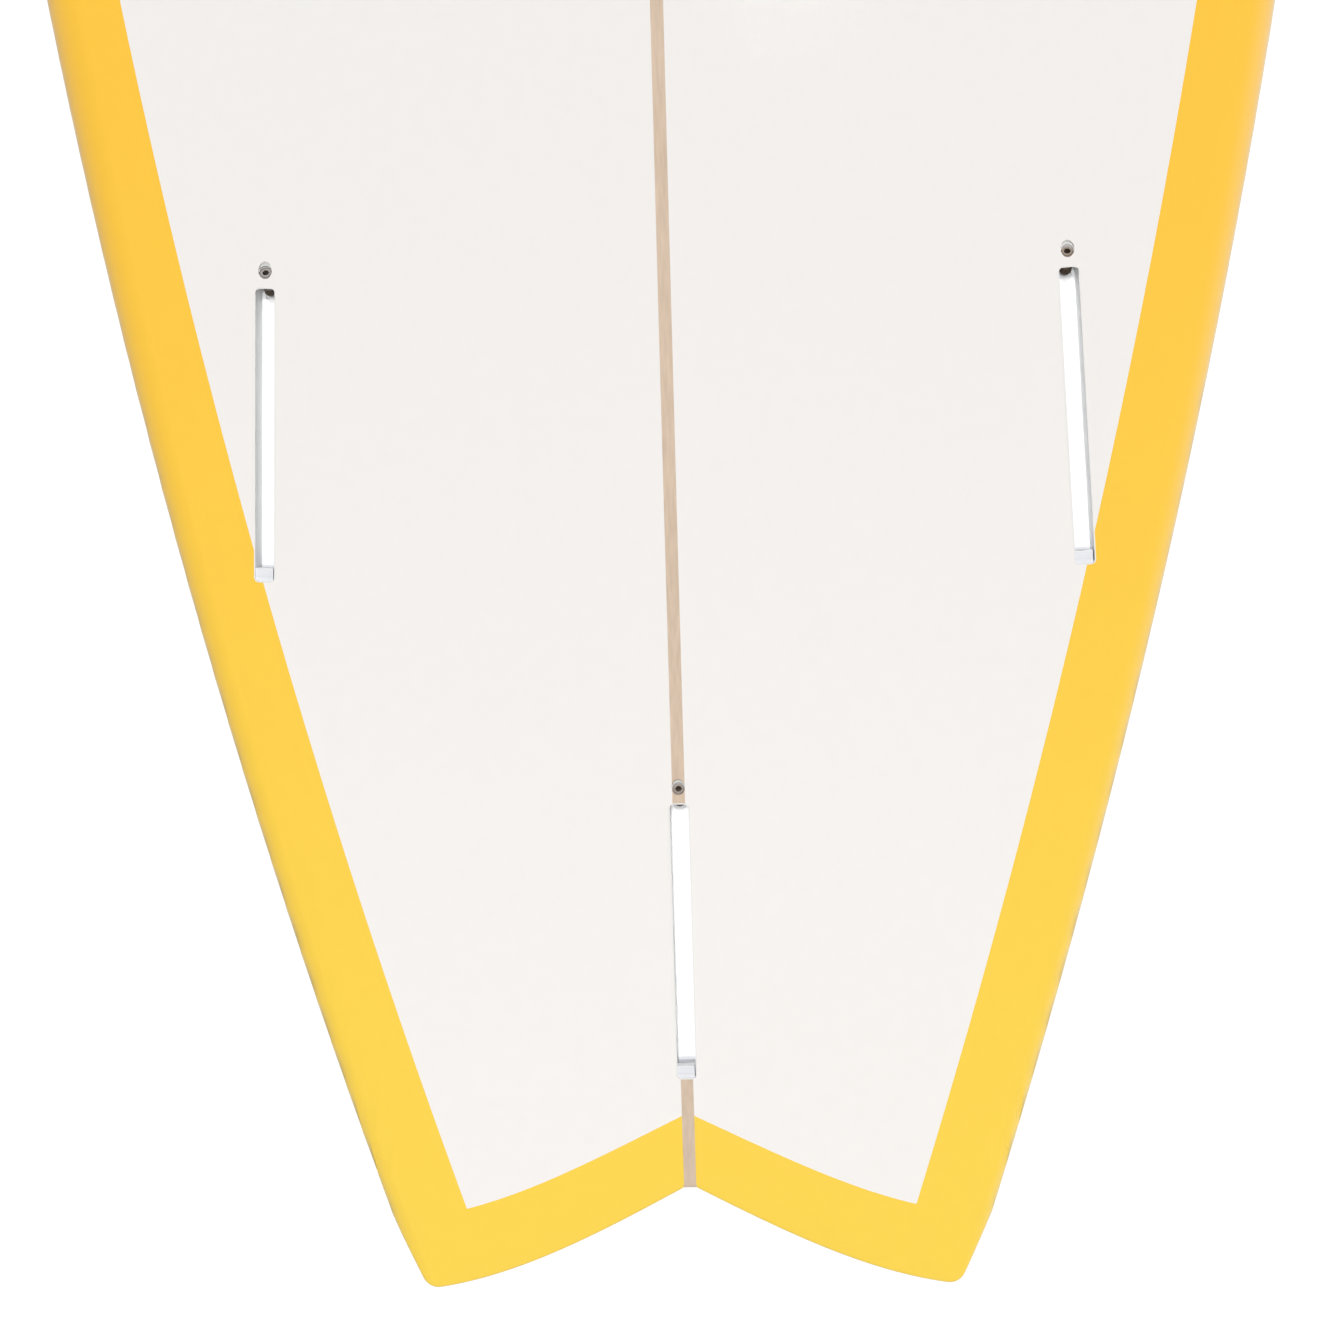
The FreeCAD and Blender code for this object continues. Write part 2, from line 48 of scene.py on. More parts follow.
# ---------------------------------------------------------------- the board's dimensions
LENGTH = 1829.0
HALF_WIDTH = 271.0
WIDE_STATION = 900.0
TAIL_HALF_WIDTH = 113.7
TAIL_FULLNESS = 1.77
NOSE_HALF_WIDTH = 5.0
NOSE_CURVE = 2.1
NOSE_POINT = 0.8

THICKNESS = 64.0
TAIL_THICKNESS = 16.0
NOSE_THICKNESS = 12.0
THICK_STATION = 950.0
FOIL = 2.2
TAIL_ROCKER = 61.0
NOSE_ROCKER = 125.0
FLAT_STATION = 915.0
TAIL_ROCKER_CURVE = 2.25
NOSE_ROCKER_CURVE = 2.6

TAIL_EDGE_RADIUS = 7.0
MID_EDGE_RADIUS = 24.0
TAIL_EDGE_DEPTH = 5.5
MID_EDGE_DEPTH = 24.0
DECK_RAIL_FULLNESS = 0.72
DECK_DOME = 0.55
EDGE_RADIUS_LIMIT = 0.6
EDGE_DEPTH_LIMIT = 0.45
ROUND_QUARTER = 0.5523

NOTCH_STATION = 43.6
NOTCH_HALF_WIDTH = 2.5
TAIL_EDGE_SLOPE = 0.55
TAIL_EDGE_BEND = 1.22e-5
TIP_TURN = 104.0
TIP_RADIUS = 7.0
TIP_LEAVE = 66.0
TAIL_LINE_START = -10.3

STRINGER = 5.0
RAIL_BAND = 31.0
TAIL_BAND = 27.3
TAIL_BAND_SPREAD = 0.04

SLOT_LENGTH = 114.0
SLOT_WIDTH = 7.4
SLOT_CORNER = 1.5
SLOT_RIM = 0.5
SIDE_FRONT_STATION = 406.5
SIDE_FRONT_X = 154.3
TOE_IN = 3.0
CANT = 1.5
CENTRE_FRONT_STATION = 201.4
HOLE_DIAMETER = 5.2
HOLE_AHEAD = 7.1
SCREW_TILT = 38.0
THREAD_PITCH = 1.058
SCREW_SUNK = 1.6
SOCKET_REACH = 1.4         # corners of the hexagon socket, from the screw's axis
LEDGE_LENGTH = 5.0         # ledge at the tail end of a slot

PLUG_STATION = 100.0
PLUG_X = 34.0
PLUG_DIAMETER = 28.0

# ---------------------------------------------------------------- how fine the skins are
SKIN = 0.8                 # thickness that is shown of the 1 mm skin
EDGE_ROUND = 1.2           # rounding of the tail's edges
EDGE_ROUND_SHARE = 0.4     # of the edge's height, at most
ROUND_STEPS = 4
WALL_STEPS = 3
RAIL_ROWS = 150
FLAT_COLUMNS = 9
ROUND_COLUMNS = 10
DECK_COLUMNS = 26
BAND_STEP = 8.0
EDGE_STEP = 3.0
TAIL_STEP = 12.0           # between the rows of grid points beside the tail edges
TAIL_CLEAR = 6.0           # those rows keep this far from the edges and the rails' first row
TIP_STEPS = 14
NOSE_STEPS = 10
TAIL_LINE_STEPS = 16
SLOT_CORNER_STEPS = 6
HOLE_STEPS = 32
PLUG_STEPS = 48
PAST_TAIL = 12.0           # the outline inside the rail bands runs on this far past the tail
PAST_BAND = 40.0           # and the outline behind the tail's band this far
PAST_NOTCH = 5.0           # the stringer's lines run on this far past the notch
PAST_NOSE = 1.0
TIP_REACH = 100.0          # the straight run from a tip meets the rail within this
NOSE_REACH = 2.0           # the bands' lines meet at least this far short of the nose
CLEAR_FLAT = 2.5           # grid points keep this far from the lines drawn on the skins
CLEAR_ROUND = 0.8
HALVINGS = 44
SETTLE_STEP = 4.0
SETTLE_ROUNDS = 8
WELD = 0.01                # corners of faces that are nearer than this are one point
SHORTEST_EDGE = 0.005
SHARP_ANGLE = 38.0         # degrees, between faces that are shaded as an edge

# ---------------------------------------------------------------- light and camera
STUDIO = 30.0              # metres, radius of the floor
FLOOR_COLOUR = 0.12
FLOOR_GLOW = 0.90
BACKDROP_GLOW = 0.98
SKY_TINT = (1.0, 0.995, 0.99)
SKY_ABOVE = 0.25
SKY_BELOW = 0.85
SKY_FADE_LOW = -0.15       # heights of view between which the sky fades, 1 straight up
SKY_FADE_HIGH = 0.65
SKY_LEAN = (0.32, 0.12, 0.0)
LAMP_SPREAD = 3.0          # degrees across
OVERHEAD = 0.460           # straight down into the slots
NOSE_SIDE = 0.39           # from the nose side, which reaches in under the ledges
NOSE_SIDE_TILT = 12.0
CAMERA_PLACE = (51.4, -604.6, 1171.3)
CAMERA_TURN = (-2.715, 2.819, -1.160)
SENSOR = 36.0
LENS = 77.18

# ---------------------------------------------------------------- where painted light, painted shade and tints begin and end
PAINTED_LIGHT_END = 520.0           # station where the painted light, brighter towards the tail, stops changing
LIP_TOP = -0.4             # heights above the skin, in a fin box's own frame
LIP_LOW = -0.8
# length over which the ledge's painted shade fades in
LEDGE_SHADE_FADE = 0.3
THREAD_SHADE_TOP = -0.1           # heights along a screw's axis above the skin, between which the bore's thread turns get painted shade
THREAD_SHADE_FULL = -0.3
THREAD_SHADE_LOW = -8.0
THREAD_SHADE_END = -8.5
THREAD_SHADE_FADE = 1.05          # of the bore's radius
THREAD_FLANK = 0.6         # how soft the edge of a turn's painted shade is, 1 softest
# painted shade on the screw's tip, between these heights along its axis
TIP_SHADE_TOP = -8.5
TIP_SHADE_FULL = -10.5
SOCKET_TOP = 0.1           # painted shade in the socket, below the screw's outer end
SOCKET_FULL = 0.4
SOCKET_INSIDE = 0.95       # of SOCKET_REACH
SOCKET_OUTSIDE = 1.05

# ---------------------------------------------------------------- surfaces
COAT_ROUGHNESS = 0.06
RESIN_SHINY = 0.29         # roughness of the polished resin, from here to RESIN_DULL
RESIN_DULL = 0.40
PEEL_SCALE = 260.0         # orange peel of the polished resin, features per metre
PEEL_DEPTH = 0.00004       # metres
GRAIN_SCALE = 220.0        # mottling of moulded plastic
GRAIN_BUMP_SCALE = 1500.0
GRAIN_DEPTH = 0.00002

# ---------------------------------------------------------------- colours
# painted light: the tail colours are brighter than the middle ones, and the skins fade between them
WHITE_TAIL_PAINTED_LIGHT = (0.893, 0.862, 0.838)
WHITE_MIDDLE = (0.838, 0.811, 0.789)
WHITE_MOTTLE = ((0.988, 0.995, 0.988), (1.0, 0.994, 0.994))
YELLOW_TAIL_PAINTED_LIGHT = (0.940, 0.650, 0.076)
YELLOW_MIDDLE = (0.940, 0.545, 0.050)
YELLOW_MOTTLE = ((0.990, 0.990, 0.990), (1.0, 1.0, 1.0))
WOOD_DARK = (0.580, 0.450, 0.340)
WOOD_PALE = (0.725, 0.572, 0.441)
BOX_INSIDE = (0.965, 0.970, 0.972)
BOX_LIP = (0.790, 0.775, 0.758)
# painted shade on the ledge at a slot's tail end and under it
BOX_LEDGE_SHADE = (0.790, 0.800, 0.830)
# painted shade in the roots of each bore's thread turns, darkest in the left hole
THREAD_SHADE = {"left": (0.34, 0.29, 0.28), "right": (0.80, 0.79, 0.80), "centre": (0.78, 0.75, 0.73)}
SCREW_TINT = {"left": (0.66, 0.61, 0.58), "right": (0.56, 0.46, 0.38), "centre": (0.64, 0.56, 0.50)}
# painted shade in a screw's socket and on its tip
SOCKET_SHADE = (0.30, 0.27, 0.25)
TIP_SHADE = (0.22, 0.19, 0.15)


def half_width(station):
    if station <= WIDE_STATION:
        run = 1.0 - station / WIDE_STATION
        return HALF_WIDTH - (HALF_WIDTH - TAIL_HALF_WIDTH) * run ** TAIL_FULLNESS
    run = min(1.0, (station - WIDE_STATION) / (LENGTH - WIDE_STATION))
    closing = (1.0 - run ** NOSE_CURVE) ** NOSE_POINT
    return NOSE_HALF_WIDTH + (HALF_WIDTH - NOSE_HALF_WIDTH) * closing


def thickness(station):
    if station <= THICK_STATION:
        run = 1.0 - station / THICK_STATION
        return THICKNESS - (THICKNESS - TAIL_THICKNESS) * run ** FOIL
    run = (station - THICK_STATION) / (LENGTH - THICK_STATION)
    return THICKNESS - (THICKNESS - NOSE_THICKNESS) * run ** FOIL


def rocker(station):
    if station <= FLAT_STATION:
        return TAIL_ROCKER * (1.0 - station / FLAT_STATION) ** TAIL_ROCKER_CURVE
    run = (station - FLAT_STATION) / (LENGTH - FLAT_STATION)
    return NOSE_ROCKER * run ** NOSE_ROCKER_CURVE


def softness(station):
    run = min(1.0, max(0.0, station / WIDE_STATION))
    return run * run * (3.0 - 2.0 * run)


def edge_radius(station):
    full = TAIL_EDGE_RADIUS + (MID_EDGE_RADIUS - TAIL_EDGE_RADIUS) * softness(station)
    return min(full, EDGE_RADIUS_LIMIT * half_width(station))


def edge_depth(station):
    full = TAIL_EDGE_DEPTH + (MID_EDGE_DEPTH - TAIL_EDGE_DEPTH) * softness(station)
    return min(full, EDGE_DEPTH_LIMIT * thickness(station))


def tail_edge(x):
    return NOTCH_STATION - TAIL_EDGE_SLOPE * x + TAIL_EDGE_BEND * x ** 3


def tail_angle(x):
    return math.atan(TAIL_EDGE_SLOPE - 3.0 * TAIL_EDGE_BEND * x * x)


def tail_line(x, inward):
    """Point of the line that runs a distance in from the right tail edge."""
    angle = tail_angle(x)
    return x + inward * math.sin(angle), tail_edge(x) + inward * math.cos(angle)


def tail_band_line(x):
    """Point of the yellow band's front line, square in from the right tail edge."""
    return tail_line(x, TAIL_BAND + TAIL_BAND_SPREAD * x)


def rail_line(station, inward):
    """Point of the line that runs a distance in from the right rail."""
    slope = 0.5 * (half_width(station + 1.0) - half_width(station - 1.0))
    size = math.hypot(1.0, slope)
    return half_width(station) - inward / size, station + inward * slope / size


def bezier(poles, t):
    s = 1.0 - t
    return poles[0] * s ** 3 + poles[1] * 3 * s * s * t + poles[2] * 3 * s * t * t + poles[3] * t ** 3


def halving(low, high, too_low):
    """Where a test turns from true to false between two numbers."""
    for _ in range(HALVINGS):
        middle = 0.5 * (low + high)
        if too_low(middle):
            low = middle
        else:
            high = middle
    return 0.5 * (low + high)


# ---------------------------------------------------------------- the two faces of the board
class Face:
    """The bottom or the deck, out to the widest line of the rail.

    Its points are given by a station and v, a distance across from the stringer line
    that runs on round the rail, so a net drawn on (v, station) lies evenly on it.
    """

    def __init__(self, deck):
        self.deck = deck

    def span(self, station):
        """v at the widest line of the rail."""
        if self.deck:
            return half_width(station) + 0.5 * (thickness(station) - edge_depth(station))
        radius, depth = edge_radius(station), edge_depth(station)
        quarter = 0.5 * math.pi * math.sqrt(0.5 * (radius * radius + depth * depth))
        return half_width(station) - radius + quarter

    def spot(self, v, station):
        """Distance from the stringer line, and drop below the bottom's stringer line."""
        wide, depth = half_width(station), edge_depth(station)
        along = min(1.0, abs(v) / self.span(station))
        if self.deck:
            low = thickness(station)
            turn = 1.0 - along
            x = bezier((wide, wide, DECK_DOME * wide, 0.0), turn)
            crown = depth + DECK_RAIL_FULLNESS * (low - depth)
            return x, bezier((depth, crown, low, low), turn)
        radius = edge_radius(station)
        flat = wide - radius
        if abs(v) <= flat:
            return abs(v), 0.0
        turn = min(1.0, (abs(v) - flat) / (self.span(station) - flat))
        x = flat + radius * bezier((0.0, ROUND_QUARTER, 1.0, 1.0), turn)
        return x, depth * bezier((0.0, 0.0, 1.0 - ROUND_QUARTER, 1.0), turn)

    def across(self, x, station):
        """v of the point at a distance x from the stringer line, with x's sign."""
        span = self.span(station)
        if abs(x) >= half_width(station):
            return math.copysign(span, x)
        if not self.deck and abs(x) <= half_width(station) - edge_radius(station):
            return x
        found = halving(0.0, span, lambda v: self.spot(v, station)[0] < abs(x))
        return math.copysign(found, x)

    def point(self, v, station):
        x, drop = self.spot(v, station)
        return Vector((math.copysign(x, v), station - 0.5 * LENGTH, bottom_height(station) - drop))

    def at(self, x, station):
        return self.point(self.across(x, station), station)


BOTTOM = Face(deck=False)
DECK = Face(deck=True)


def settle():
    """Lift and pitch that put the nose and both tail tips on the ground."""
    steps = [SETTLE_STEP * i for i in range(int(TIP_TURN / SETTLE_STEP) + 1)]
    edge = [(x, tail_edge(x)) for x in steps]
    drops = []
    for x, station in edge:
        drops.append((station, rocker(station) + DECK.spot(DECK.across(x, station), station)[1]))
    pitch = 0.0
    for _ in range(SETTLE_ROUNDS):
        lift = -min(pitch * station - drop for station, drop in drops)
        pitch = (rocker(LENGTH) + thickness(LENGTH) - lift) / LENGTH
    return lift, pitch


LIFT, PITCH = settle()


def bottom_height(station):
    return LIFT + PITCH * station - rocker(station)


def fin_frame(side):
    """Placement of a fin box: slot's front end at the origin, nose along +Y, out along +Z."""
    front = SIDE_FRONT_STATION if side else CENTRE_FRONT_STATION
    toe = math.radians(TOE_IN) * abs(side)
    back = front - SLOT_LENGTH * math.cos(toe)
    slope = math.atan2(bottom_height(front) - bottom_height(back), front - back)
    turn = Matrix.Rotation(math.radians(TOE_IN) * side, 4, "Z")
    turn = turn @ Matrix.Rotation(slope, 4, "X") @ Matrix.Rotation(math.radians(CANT) * side, 4, "Y")
    spot = Vector((side * SIDE_FRONT_X, front - 0.5 * LENGTH, bottom_height(front)))
    return Matrix.Translation(spot) @ turn


FIN_FRAMES = {"left": fin_frame(-1), "right": fin_frame(1), "centre": fin_frame(0)}


def plan(point):
    """Distance from the stringer line and station of a point."""
    return point.x, point.y + 0.5 * LENGTH


# ---------------------------------------------------------------- outlines in plan
def tail_curve():
    """Tail from the left rail to the right: x, station and the inward direction."""
    centre_x, centre_station = tail_line(TIP_TURN, TIP_RADIUS)
    leave = math.radians(TIP_LEAVE)
    arrive = -tail_angle(TIP_TURN)
    right = []
    count = round(TIP_TURN / EDGE_STEP)
    for i in range(count):
        x = NOTCH_HALF_WIDTH + (TIP_TURN - NOTCH_HALF_WIDTH) * i / count
        angle = tail_angle(x)
        right.append((x, tail_edge(x), math.sin(angle), math.cos(angle)))
    corner = 0.5 * tail_angle(NOTCH_HALF_WIDTH)
    mitre = 1.0 / math.cos(corner)
    right[0] = (right[0][0], right[0][1], mitre * math.sin(corner), mitre * math.cos(corner))
    for i in range(TIP_STEPS + 1):
        angle = arrive + (leave - arrive) * i / TIP_STEPS
        x = centre_x + TIP_RADIUS * math.sin(angle)
        station = centre_station - TIP_RADIUS * math.cos(angle)
        right.append((x, station, -math.sin(angle), math.cos(angle)))
    x, station = right[-1][0], right[-1][1]

    def ahead(run):
        return x + run * math.cos(leave), station + run * math.sin(leave)

    def inside_rail(run):
        across, along = ahead(run)
        return across < half_width(along)

    reach = halving(0.0, TIP_REACH, inside_rail)
    count = round(reach / EDGE_STEP)
    for i in range(1, count + 1):
        across, along = ahead(reach * i / count)
        right.append((across, along, -math.sin(leave), math.cos(leave)))
    left = [(-x, station, -nx, ny) for x, station, nx, ny in reversed(right)]
    middle = [(0.0, right[0][1], 0.0, 1.0)]
    return left + middle + right


def nose_curve():
    """Blunt end of the nose, from the right rail to the left."""
    curve = []
    for i in range(NOSE_STEPS + 1):
        x = NOSE_HALF_WIDTH * math.cos(math.pi * i / NOSE_STEPS)
        curve.append((x, LENGTH, 0.0, -1.0))
    return curve


TAIL_CURVE = tail_curve()
NOSE_CURVE_POINTS = nose_curve()


def rounding(x, station):
    """Radius that the board's edge is rounded to at a point of its outline."""
    tall = BOTTOM.at(x, station).z - DECK.at(x, station).z
    return min(EDGE_ROUND, EDGE_ROUND_SHARE * tall)


def inset(curve):
    """A curve of the outline, moved in by its rounding."""
    moved = []
    for x, station, nx, ny in curve:
        radius = rounding(x, station)
        moved.append((x + radius * nx, station + radius * ny))
    return moved


def rail_stations():
    """Stations of the grid's rows, from the tail's corners to the nose."""
    first = TAIL_CURVE[-1][1]
    turn = 0.5 * math.pi / RAIL_ROWS
    return [first + (LENGTH - first) * math.sin(turn * i) for i in range(1, RAIL_ROWS)]


def band_end():
    """Station of the rail whose band line comes in to the stringer, at the nose."""

    def outside_stringer(station):
        return rail_line(station, RAIL_BAND)[0] > 0.5 * STRINGER

    return halving(WIDE_STATION, LENGTH - NOSE_REACH, outside_stringer)


def rail_window():
    """Plan outline inside both rail bands, open-ended past the tail."""
    last = band_end()
    count = round(last / BAND_STEP)
    right = []
    for i in range(count + 1):
        station = (last + PAST_TAIL) * math.sin(0.5 * math.pi * i / count) - PAST_TAIL
        right.append(rail_line(station, RAIL_BAND))
    return right + [(-x, station) for x, station in reversed(right)]


def tail_zone():
    """Plan outline of everything behind the front line of the tail's band."""
    right = []
    for i in range(TAIL_LINE_STEPS + 1):
        x = TAIL_LINE_START + (TIP_TURN - TAIL_LINE_START) * i / TAIL_LINE_STEPS
        right.append(tail_band_line(x))
    right = [pair for pair in right if pair[0] > 0.0]
    meet = right[0][1] + right[0][0] * math.tan(tail_angle(TAIL_LINE_START))
    right = [(0.0, meet)] + right + [(HALF_WIDTH, -PAST_BAND)]
    return right + [(-x, station) for x, station in reversed(right[1:])]


def slot_outline(matrix):
    """Outline of a fin slot's lip on the bottom, in plan."""
    half, corner = 0.5 * SLOT_WIDTH + SLOT_RIM, SLOT_CORNER + SLOT_RIM
    front, back = SLOT_RIM, -SLOT_LENGTH - SLOT_RIM
    outline = []
    centres = (
        (half - corner, front - corner, 0.0),
        (corner - half, front - corner, 90.0),
        (corner - half, back + corner, 180.0),
        (half - corner, back + corner, 270.0),
    )
    for x, y, start in centres:
        for i in range(SLOT_CORNER_STEPS + 1):
            angle = math.radians(start + 90.0 * i / SLOT_CORNER_STEPS)
            local = Vector((x + corner * math.cos(angle), y + corner * math.sin(angle), 0.0))
            outline.append(plan(matrix @ local))
    return outline


def hole_outline(matrix):
    """Outline of a grub screw's slanted hole on the bottom, in plan."""
    stretch = 1.0 / math.cos(math.radians(SCREW_TILT))
    outline = []
    for i in range(HOLE_STEPS):
        angle = 2.0 * math.pi * i / HOLE_STEPS
        x = 0.5 * HOLE_DIAMETER * math.cos(angle)
        y = HOLE_AHEAD + 0.5 * HOLE_DIAMETER * stretch * math.sin(angle)
        outline.append(plan(matrix @ Vector((x, y, 0.0))))
    return outline


def plug_outline():
    """Outline of the leash plug on the deck, in plan."""
    outline = []
    for i in range(PLUG_STEPS):
        angle = 2.0 * math.pi * i / PLUG_STEPS
        x = PLUG_X + 0.5 * PLUG_DIAMETER * math.cos(angle)
        outline.append((x, PLUG_STATION + 0.5 * PLUG_DIAMETER * math.sin(angle)))
    return outline


# ---------------------------------------------------------------- nets on the faces
def on_face(face, pairs):
    """The v and station of points given in plan."""
    return [(face.across(x, station), station) for x, station in pairs]


def is_inside(polygon, spots):
    """Which of an array of spots lie inside a closed outline."""
    x, y = spots[:, 0], spots[:, 1]
    hit = np.zeros(len(spots), bool)
    previous = polygon[-1]
    for corner in polygon:
        (x0, y0), (x1, y1) = previous, corner
        if y0 != y1:
            crosses = (y0 > y) != (y1 > y)
            hit ^= crosses & (x < (x1 - x0) * (y - y0) / (y1 - y0) + x0)
        previous = corner
    return hit


def grid(face, stations):
    """Spots all over a face, with the distance that each keeps from drawn lines."""
    spots = []
    for station in stations:
        span = face.span(station)
        if face.deck:
            shares = [(i / DECK_COLUMNS, CLEAR_FLAT if i < DECK_COLUMNS / 2 else CLEAR_ROUND)
                      for i in range(1, DECK_COLUMNS)]
        else:
            flat = (half_width(station) - edge_radius(station)) / span
            shares = [(flat * (i + 0.5) / FLAT_COLUMNS, CLEAR_FLAT) for i in range(FLAT_COLUMNS)]
            shares += [(flat + (1.0 - flat) * i / ROUND_COLUMNS, CLEAR_ROUND)
                       for i in range(ROUND_COLUMNS)]
        for share, clear in shares:
            spots += [(share * span, station, clear), (-share * span, station, clear)]
    return spots


def net(face, outline, closed_lines, open_lines, stations):
    """Triangles over the inside of an outline, with every line along triangle edges."""
    coords, edges = [], []

    def draw(line, closed):
        first = len(coords)
        coords.extend(Vector(spot) for spot in line)
        edges.extend((i, i + 1) for i in range(first, len(coords) - 1))
        if closed:
            edges.append((len(coords) - 1, first))

    draw(outline, True)
    rim = len(coords)
    for line in closed_lines:
        draw(line, True)
    for line in open_lines:
        draw(line, False)
    rail = set(round(station, 6) for station in stations)
    tree = KDTree(len(coords))
    for i, spot in enumerate(coords):
        if i >= rim or round(spot.y, 6) not in rail:
            tree.insert((spot.x, spot.y, 0.0), i)
    tree.balance()
    for v, station, clear in grid(face, stations):
        if tree.find((v, station, 0.0))[2] > clear:
            coords.append(Vector((v, station)))
    spots, _, triangles, _, _, _ = delaunay_2d_cdt(coords, edges, [], 0, 1e-5)
    spots = np.array([(spot.x, spot.y) for spot in spots])
    triangles = np.array(triangles)
    middles = spots[triangles].mean(axis=1)
    keep = is_inside(outline, middles)
    return spots, triangles[keep], middles[keep]


def outline_of(face, stations):
    """Closed outline of a face: tail, right rail, nose, left rail."""
    right = [(face.span(station), station) for station in stations]
    left = [(-v, station) for v, station in reversed(right)]
    return on_face(face, inset(TAIL_CURVE)) + right + on_face(face, inset(NOSE_CURVE_POINTS)) + left


def wall(curve):
    """Columns of points down the board's cut end, from the bottom round to the deck."""
    columns = []
    for (x, station, _, _), (inner_x, inner_station) in zip(curve, inset(curve)):
        radius = rounding(x, station)
        high = BOTTOM.at(x, station)
        low = DECK.at(x, station)
        down = Vector((0.0, 0.0, radius))
        column = rounded(BOTTOM.at(inner_x, inner_station), high, high - down)
        for i in range(1, WALL_STEPS):
            column.append((high - down).lerp(low + down, i / WALL_STEPS))
        column += rounded(low + down, low, DECK.at(inner_x, inner_station))
        columns.append(column)
    return columns


def rounded(start, corner, end):
    """Points of a rounded corner."""
    points = []
    for i in range(ROUND_STEPS + 1):
        t = i / ROUND_STEPS
        points.append(start * (1.0 - t) ** 2 + corner * 2.0 * t * (1.0 - t) + end * t * t)
    return points


# ---------------------------------------------------------------- skins
def collect():
    """Faces of every skin piece, as lists of corner points in millimetres."""
    skins = {}
    stations = rail_stations()
    start = tail_edge(TIP_TURN) + TAIL_CLEAR
    inner_stations = [start + TAIL_STEP * i for i in range(int(stations[0] / TAIL_STEP) + 1)]
    inner_stations = [station for station in inner_stations if station < stations[0] - TAIL_CLEAR]
    window, zone = rail_window(), tail_zone()
    strip = 0.5 * STRINGER
    every = [station for station in stations if station > NOTCH_STATION]
    every = [tail_edge(strip) - PAST_NOTCH] + every + [LENGTH + PAST_NOSE]
    for face in (BOTTOM, DECK):
        outline = outline_of(face, stations)
        inner_window = on_face(face, window)
        tail = on_face(face, zone)
        strip_lines = [on_face(face, [(side * strip, min(station, LENGTH)) for station in every])
                       for side in (1.0, -1.0)]
        cuts = []
        lines = list(strip_lines)
        if face.deck:
            cuts.append(on_face(face, plug_outline()))
            lines.append([(0.0, station) for station in every])
        else:
            for matrix in FIN_FRAMES.values():
                cuts += [on_face(face, slot_outline(matrix)), on_face(face, hole_outline(matrix))]
        spots, triangles, middles = net(
            face, outline, cuts + [inner_window, tail], lines, inner_stations + stations
        )
        away = np.zeros(len(middles), bool)
        for cut in cuts:
            away |= is_inside(cut, middles)
        white = is_inside(inner_window, middles) & ~is_inside(tail, middles)
        wood = is_inside(strip_lines[0] + strip_lines[1][::-1], middles)
        if face.deck:
            wood &= white
        points = [face.point(v, station) for v, station in spots]
        name = "deck" if face.deck else "bottom"
        for triangle, middle, gone, is_white, is_wood in zip(triangles, middles, away, white, wood):
            if gone:
                continue
            side = "right" if middle[0] > 0.0 else "left"
            if is_wood:
                piece = "stringer_strip_" + name
            elif is_white:
                piece = name + "_glass_" + side
            else:
                piece = "rail_skin_" + side
            corners = [points[i] for i in triangle]
            skins.setdefault(piece, []).append(corners[::-1] if face.deck else corners)
    for curve in (TAIL_CURVE, NOSE_CURVE_POINTS):
        columns = wall(curve)
        for first, second in zip(columns, columns[1:]):
            x = first[0].x + second[0].x
            for i in range(len(first) - 1):
                in_strip = abs(x) < 2.0 * strip and i < len(first) // 2
                side = "right" if x > 0.0 else "left"
                piece = "stringer_strip_bottom" if in_strip else "rail_skin_" + side
                quad = [first[i], first[i + 1], second[i + 1], second[i]]
                skins.setdefault(piece, []).append(quad)
    return skins


def hole_directions():
    """Each screw hole's middle on the bottom, and the way down it through the skin."""
    tilt = math.radians(SCREW_TILT)
    down = Vector((0.0, -math.sin(tilt), -math.cos(tilt)))
    found = []
    for matrix in FIN_FRAMES.values():
        along = matrix.to_3x3() @ down
        found.append((matrix @ Vector((0.0, HOLE_AHEAD, 0.0)), along * (SKIN / math.cos(tilt))))
    return found


def skin_piece(name, faces, material):
    """Closed shell: the outer faces, the same faces moved in by SKIN, and the rims between."""
    mesh = bmesh.new()
    for corners in faces:
        mesh.faces.new([mesh.verts.new(corner) for corner in corners])
    bmesh.ops.remove_doubles(mesh, verts=mesh.verts, dist=WELD)
    bmesh.ops.dissolve_degenerate(mesh, edges=mesh.edges, dist=SHORTEST_EDGE)
    mesh.normal_update()
    mesh.verts.index_update()
    holes = hole_directions()
    outer = [vert.co.copy() for vert in mesh.verts]
    inner = []
    for vert in mesh.verts:
        shift = -vert.normal * SKIN
        if vert.is_boundary:
            for middle, along in holes:
                if (vert.co - middle).length < HOLE_DIAMETER:
                    shift = along
        inner.append(vert.co + shift)
    count = len(outer)
    polygons = []
    for polygon in mesh.faces:
        ring = [vert.index for vert in polygon.verts]
        polygons.append(ring)
        polygons.append([i + count for i in reversed(ring)])
    for edge in mesh.edges:
        if edge.is_boundary:
            a, b = [loop.vert.index for loop in (edge.link_loops[0], edge.link_loops[0].link_loop_next)]
            polygons.append([b, a, a + count, b + count])
    mesh.free()
    data = bpy.data.meshes.new(name)
    data.from_pydata([point * MM for point in outer + inner], [], polygons)
    data.validate()
    data.shade_smooth()
    data.set_sharp_from_angle(angle=math.radians(SHARP_ANGLE))
    data.materials.append(material)
    piece = bpy.data.objects.new(name, data)
    bpy.context.scene.collection.objects.link(piece)
    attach(piece, "board")
    return piece


# ---------------------------------------------------------------- materials
def new_material(name, colour, roughness, metallic=0.0, coat=0.0):
    material = bpy.data.materials.new(name)
    material.use_nodes = True
    shader = material.node_tree.nodes["Principled BSDF"]
    shader.inputs["Base Color"].default_value = (*colour, 1.0)
    shader.inputs["Roughness"].default_value = roughness
    shader.inputs["Metallic"].default_value = metallic
    shader.inputs["Coat Weight"].default_value = coat
    shader.inputs["Coat Roughness"].default_value = COAT_ROUGHNESS
    return material, material.node_tree, shader


